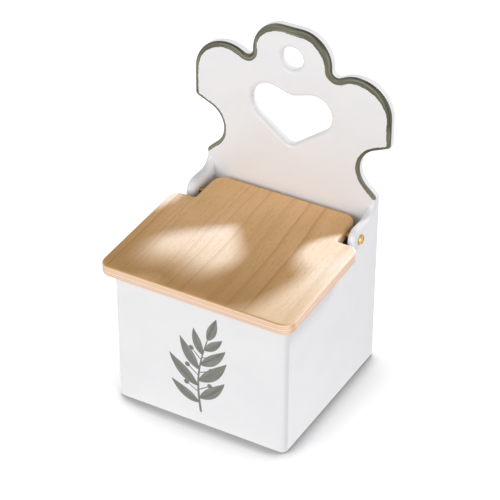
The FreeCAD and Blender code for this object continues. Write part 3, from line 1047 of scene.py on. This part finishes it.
    def widths(self, outline: Outline, half_width: np.ndarray) -> np.ndarray:
        """Half width along a mark.

        A leaf follows the sine of pi times the way to a power under 1, so that it is widest
        below its middle. A berry follows a half circle.

        Args:
            outline: plan of the mark.
            half_width: widest half widths (marks,).

        Returns:
            Half widths (marks, rows), never quite nothing.
        """
        way = np.linspace(0.0, 1.0, self.rows)
        if outline is Outline.LEAF:
            share = np.sin(np.pi * way**self.leaf_power)
        else:
            share = np.sqrt(np.clip(1.0 - (2.0 * way - 1.0) ** 2, 0.0, 1.0))
        return half_width[:, None] * np.maximum(share, self.least_share)

    def stem(self) -> Marks:
        """The stem's own brush mark.

        It thins evenly upwards, and at its foot it widens as a square root does.

        Returns:
            The rings (1, rows, columns, 3) and the brush marks (..., 4).
        """
        way = np.linspace(0.0, 1.0, self.rows)
        spine, _ = self.stem_at(way)
        foot = np.sqrt(np.clip(way / self.stem_foot_share, self.stem_end_share**2, 1.0))
        half_width = self.stem_half_width * (1.0 - self.stem_taper * way) * foot
        return self.marks(spine[None], half_width[None], self.stem_number)

    def leaves(self) -> Marks:
        """The leaves' brush marks, each leaning away from the stem on its own side.

        Returns:
            The rings (leaves, rows, columns, 3) and the brush marks (..., 4).
        """
        start, heading = self.stem_at(np.array(self.leaf_heights))
        side = np.array(self.leaf_sides)
        turned = np.where(side == 0.0, 1.0, -side)
        lean = np.radians(self.leaf_leans) * turned
        bend = np.radians(self.leaf_bends) * turned
        spine = self.bent_spines(start, heading + lean, np.array(self.leaf_lengths), bend)
        widths = self.widths(Outline.LEAF, np.array(self.leaf_half_widths))
        return self.marks(spine, widths, self.leaf_number)

    def berries(self) -> Marks:
        """The berries and their stalks: round marks at the ends of thin ones.

        Returns:
            The rings (stalks and berries, rows, columns, 3) and the brush marks (..., 4).
        """
        start, heading = self.stem_at(np.array(self.berry_heights))
        lean = heading - np.radians(self.berry_lean) * np.array(self.berry_sides)
        many = np.ones(len(start))
        stalk = self.bent_spines(start, lean, self.berry_stalk * many, 0.0 * many)
        ahead = stalk[:, -1] - stalk[:, -2]
        ahead /= np.linalg.norm(ahead, axis=1, keepdims=True)
        begin = stalk[:, -1] - self.berry_overlap * ahead
        across = self.bent_spines(begin, lean, 2.0 * self.berry_radius * many, 0.0 * many)
        thin = self.stalk_half_width * np.ones((len(start), self.rows))
        wide = self.widths(Outline.BERRY, self.berry_radius * many)
        stalk_marks = self.marks(stalk, thin, self.stalk_number)
        round_marks = self.marks(across, wide, self.berry_number)
        return tuple(np.concatenate(pair) for pair in zip(stalk_marks, round_marks))

    def build(self) -> None:
        """Makes the stem, leaves and berries and sets them on the pot."""
        paint = self.finish.material()
        paint_on_pot("painted_stem", self.stem(), paint)
        paint_on_pot("painted_leaves", self.leaves(), paint)
        paint_on_pot("painted_berries", self.berries(), paint)


@dataclass
class Pot:
    """Cast pot with its painted band and sprig."""

    glaze: Glaze = field(default_factory=Glaze)
    band: PlateBand = field(default_factory=PlateBand)
    sprig: FrontSprig = field(default_factory=FrontSprig)

    def build(self) -> None:
        """Glazes the pot and paints it."""
        dress(Node.POT, self.glaze.material())
        self.band.build()
        self.sprig.build()


@dataclass
class Lid:
    """Beech lid on its two brass screws."""

    board: Beech = field(default_factory=Beech)
    screws: Brass = field(default_factory=Brass)

    def build(self) -> None:
        """Gives the board its grain and the screws their brass."""
        dress(Node.LID_BOARD, self.board.material())
        brass = self.screws.material()
        dress(Node.LEFT_SCREW, brass)
        dress(Node.RIGHT_SCREW, brass)


@dataclass
class Studio:
    """Pale floor, soft light and the camera that saw the pot.

    Angles to lamps and camera are azimuth, from the front towards +X, and elevation. The lamp
    behind shines on all but the floor, and a second one in the same place on the lid alone.
    """

    camera_azimuth: float = 29.74
    camera_elevation: float = 34.0
    camera_roll: float = 0.13
    camera_distance: float = 1233.65
    camera_target: tuple = (1.63, 0.0, 97.0)
    lens: float = 143.09
    sensor: float = 36.0
    floor_half: float = 4000.0
    floor_colour: Colour = (0.94, 0.94, 0.94)
    # Colour of the painted contact shadow close to the pot.
    contact_shadow_colour: Colour = (0.52, 0.52, 0.515)
    floor_glow: float = 0.8
    shadow_reach: float = 45.0
    contact_reach: float = 11.0
    contact_range: Range = (0.95, 0.35)
    clear_start: float = 0.42
    clear_power: float = 0.6
    clear_share: float = 1.15
    open_range: Range = (0.96, 1.0)
    open_share: float = 0.4
    shadow_samples: int = 32
    shadow_lean: tuple = (-0.22, 0.42, 0.88)
    sky_level: float = 0.28
    back_azimuth: float = 166.0
    back_elevation: float = 36.0
    back_width: float = 7.0
    back_colour: Colour = (1.0, 0.99, 1.0)
    back_strength: float = 2.4
    lid_colour: Colour = (0.3, 0.82, 2.35)
    lid_strength: float = 5.0
    fill_places: tuple = ((-25.0, 20.0), (65.0, 18.0))
    fill_powers: tuple = (6.85, 5.0)
    fill_colours: tuple = ((1.0, 1.0, 1.01), (0.98, 0.97, 1.03))
    fill_distance: float = 1200.0
    fill_side: float = 825.0

    @staticmethod
    def towards(azimuth: float, elevation: float) -> Vector:
        """Direction from the pot towards a lamp or the camera.

        Args:
            azimuth: from the front towards +X.
            elevation: above the floor.

        Returns:
            A vector of length 1.
        """
        turn, rise = math.radians(azimuth), math.radians(elevation)
        level = math.cos(rise)
        return Vector((math.sin(turn) * level, -math.cos(turn) * level, math.sin(rise)))

    @staticmethod
    def rays(net: Net) -> tuple[Term, Term]:
        """Tells the kinds of rays apart.

        Args:
            net: net of a material or world.

        Returns:
            1 for rays from the camera, and 1 for rays off gloss or through glass.
        """
        path = net.node("LightPath")
        gloss = net.term(path, "Is Glossy Ray")
        through = net.term(path, "Is Transmission Ray")
        return net.term(path, "Is Camera Ray"), net.maths("MAXIMUM", gloss, through)

    def add_camera(self) -> None:
        """Places the camera."""
        data = bpy.data.cameras.new("camera")
        data.lens = self.lens
        data.sensor_width = self.sensor
        camera = bpy.data.objects.new("camera", data)
        back = self.towards(self.camera_azimuth, self.camera_elevation)
        right = Vector((0.0, 0.0, 1.0)).cross(back).normalized()
        up = back.cross(right)
        place = (Vector(self.camera_target) + back * self.camera_distance) * MM
        upright = Matrix((right, up, back)).transposed().to_4x4()
        roll = Matrix.Rotation(math.radians(self.camera_roll), 4, "Z")
        camera.matrix_world = Matrix.Translation(place) @ upright @ roll
        bpy.context.scene.collection.objects.link(camera)
        bpy.context.scene.camera = camera

    def add_floor(self) -> bpy.types.Object:
        """Lays the floor, which glows to white but keeps the shadow close to the pot.

        How open a point lies to a direction that leans to the back gives its glow: a power of
        the openness within the shadow's reach, and more where nothing stands near, so that
        the glow fades near the pot as a painted shadow. Within the contact's reach the floor's
        colour darkens into a painted contact shadow.

        Returns:
            The floor.
        """
        half = self.floor_half * MM
        mesh = bpy.data.meshes.new("floor")
        corners = [(-half, -half, 0.0), (half, -half, 0.0), (half, half, 0.0), (-half, half, 0.0)]
        mesh.from_pydata(corners, [], [(0, 1, 2, 3)])
        floor = bpy.data.objects.new("floor", mesh)
        bpy.context.scene.collection.objects.link(floor)
        material, net = new_material("pale_floor")
        straight, bent = self.rays(net)
        lean = net.vector("NORMALIZE", self.shadow_lean)
        samples = {"samples": self.shadow_samples}
        openness = [
            net.node("AmbientOcclusion", samples, {"Distance": reach * MM, "Normal": lean})
            for reach in (self.contact_reach, self.shadow_reach)
        ]
        near, far = (net.term(made, "AO") for made in openness)
        # Painted contact shadow: the floor's colour darkens close to the pot.
        shadow_near = near.step(*self.contact_range) * straight
        colour = net.mix(shadow_near, self.floor_colour, self.contact_shadow_colour)
        lit = net.term(net.node("BsdfDiffuse", None, {"Color": colour}))
        glow = net.term(net.node("Emission", None, {"Strength": self.floor_glow}))
        bright = net.term(net.node("AddShader", None, {0: lit, 1: glow}))
        rise = net.maths("MAXIMUM", far - self.clear_start, 0.0) ** self.clear_power
        clear = rise * self.clear_share + far.step(*self.open_range) * self.open_share
        shown = straight * clear + bent
        both = net.node("MixShader", None, {0: shown, 1: lit, 2: bright})
        net.node("OutputMaterial", None, {"Surface": net.term(both)})
        mesh.materials.append(material)
        return floor

    def add_sky(self) -> None:
        """Sets a soft white world that is white where it is seen."""
        world = bpy.data.worlds.new("soft_sky")
        world.use_nodes = True
        bpy.context.scene.world = world
        net = Net(world.node_tree)
        white = (1.0, 1.0, 1.0, 1.0)
        light = net.node("Background", None, {"Color": white, "Strength": self.sky_level})
        shown = net.node("Background", None, {"Color": white, "Strength": 1.0})
        seen = net.maths("MAXIMUM", *self.rays(net))
        both = net.node("MixShader", None, {0: seen, 1: net.term(light), 2: net.term(shown)})
        net.node("OutputWorld", None, {"Surface": net.term(both)})

    def add_lamp(
        self, name: str, kind: LampKind, azimuth: float, elevation: float, power: float
    ) -> bpy.types.Object:
        """Hangs a lamp that points at the pot.

        Args:
            name: name of the lamp.
            kind: type of the lamp.
            azimuth: where it hangs.
            elevation: how high it hangs.
            power: its strength, in watts for a softbox.

        Returns:
            The lamp.
        """
        data = bpy.data.lights.new(name, kind.value)
        data.energy = power
        lamp = bpy.data.objects.new(name, data)
        back = self.towards(azimuth, elevation)
        lamp.location = back * self.fill_distance * MM
        lamp.rotation_euler = back.to_track_quat("Z", "Y").to_euler()
        bpy.context.scene.collection.objects.link(lamp)
        return lamp

    @staticmethod
    def link(lamp: bpy.types.Object, piece: bpy.types.Object, lights: Lights) -> None:
        """Makes a lamp light one piece only, or all but that piece.

        Args:
            lamp: the lamp.
            piece: the piece.
            lights: which of the two.
        """
        group = bpy.data.collections.new(lamp.name + "_" + piece.name)
        group.objects.link(piece)
        group.collection_objects[0].light_linking.link_state = lights.value
        lamp.light_linking.receiver_collection = group

    def add_lamps(self, floor: bpy.types.Object) -> None:
        """Hangs two softboxes in front and a lamp behind, whose light is cooler on the lid.

        Args:
            floor: the floor, which the lamp behind leaves out.
        """
        fills = zip(self.fill_places, self.fill_powers, self.fill_colours)
        for number, (place, power, colour) in enumerate(fills):
            softbox = self.add_lamp(f"softbox_{number}", LampKind.SOFTBOX, *place, power)
            softbox.data.size = self.fill_side * MM
            softbox.data.color = colour
        back = (self.back_azimuth, self.back_elevation)
        board = frame["nodes"][Node.LID_BOARD.value]
        for name, colour, strength, piece, lights in (
            ("back_lamp", self.back_colour, self.back_strength, floor, Lights.ALL_BUT),
            ("lid_lamp", self.lid_colour, self.lid_strength, board, Lights.ONLY),
        ):
            lamp = self.add_lamp(name, LampKind.SUN, *back, strength)
            lamp.data.angle = math.radians(self.back_width)
            lamp.data.color = colour
            lamp.visible_glossy = False
            self.link(lamp, piece, lights)

    def build(self) -> None:
        """Sets the stage and the colour management."""
        self.add_sky()
        self.add_lamps(self.add_floor())
        self.add_camera()
        bpy.context.scene.view_settings.view_transform = "Standard"


def main() -> None:
    """Builds the pot, the lid and the studio."""
    logging.basicConfig(level=logging.INFO, format="%(name)s: %(message)s")
    Pot().build()
    Lid().build()
    Studio().build()


if __name__ == "__main__":
    main()
